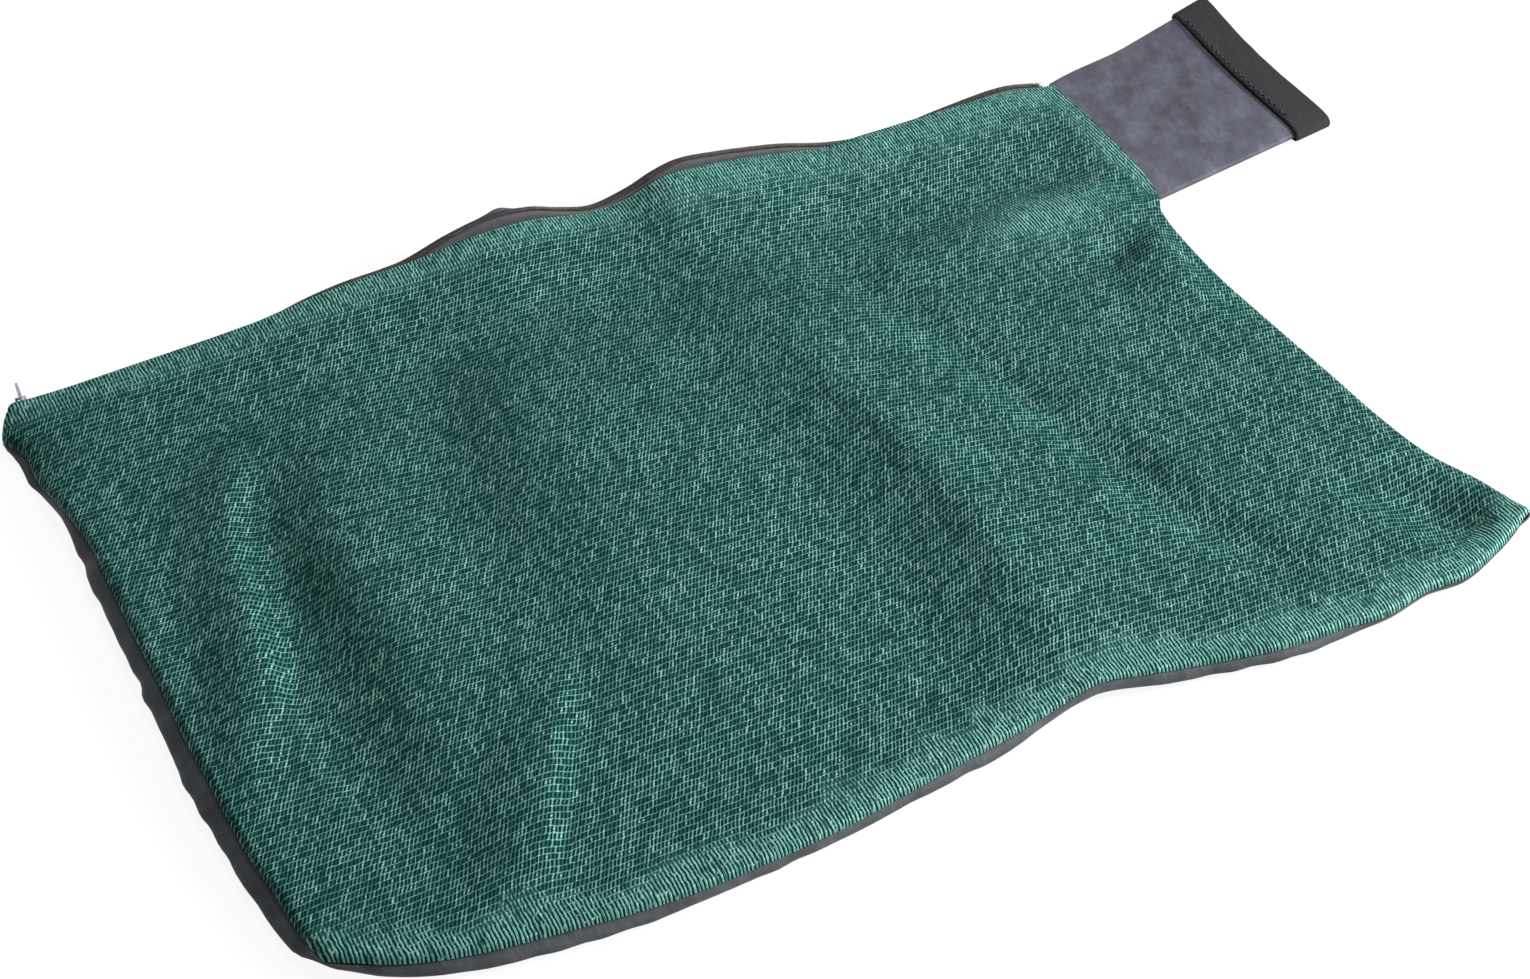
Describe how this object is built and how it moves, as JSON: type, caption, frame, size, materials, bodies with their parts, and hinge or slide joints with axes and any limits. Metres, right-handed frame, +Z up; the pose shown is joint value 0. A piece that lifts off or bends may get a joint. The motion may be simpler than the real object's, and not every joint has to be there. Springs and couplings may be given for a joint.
{
  "type": "leaf vacuum collection bag",
  "caption": "Flat-lying collection bag: green woven mesh over grey nylon, a zip along the far edge, and a nylon neck with an elastic cuff at one corner.",
  "frame": {"origin": "on the ground, under the middle of the overall size", "axes": "+X along the bag towards the neck, +Y from the near seam to the zip, +Z up"},
  "size_m": [0.8398, 0.5616, 0.0332],
  "materials": {
    "green_mesh": "open plain weave, light sheen",
    "grey_nylon": "fine weave, matte",
    "slate_nylon": "fine weave, matte",
    "black_elastic": "knitted elastic, matte",
    "zip_tape": "woven tape, matte",
    "zip_coil": "nylon coil, satin",
    "zip_metal": "satin",
    "dark_thread": "twisted thread, matte"
  },
  "bodies": {
    "bag": {"upper_panel": "green_mesh", "lower_panel": "grey_nylon", "neck_sleeve": "slate_nylon", "neck_cuff": "black_elastic", "zip_tape_upper": "zip_tape", "zip_tape_lower": "zip_tape", "zip_coil_upper": "zip_coil", "zip_coil_lower": "zip_coil", "zip_stop_upper": "zip_metal", "zip_stop_lower": "zip_metal", "zip_end_stop": "zip_metal", "near_seam_thread": "dark_thread", "left_seam_thread": "dark_thread", "shoulder_seam_thread": "dark_thread", "zip_thread_upper": "dark_thread", "zip_thread_lower": "dark_thread", "neck_thread_upper": "dark_thread", "neck_thread_lower": "dark_thread", "cuff_thread": "dark_thread"},
    "slider": {"zip_slider": "zip_metal"},
    "pull": {"zip_pull": "zip_metal"}
  },
  "joints": [
    {"name": "slider_run", "type": "slide", "parent": "bag", "child": "slider", "axis": [0.9991, 0.034, 0.0235], "range_m": [0, 0.12]},
    {"name": "pull_pivot", "type": "hinge", "parent": "slider", "child": "pull", "pos_m": [-0.40201, 0.2142, 0.01173], "axis": [-0.0284, 0.9778, -0.2078], "range_deg": [-90, 90]}
  ]
}
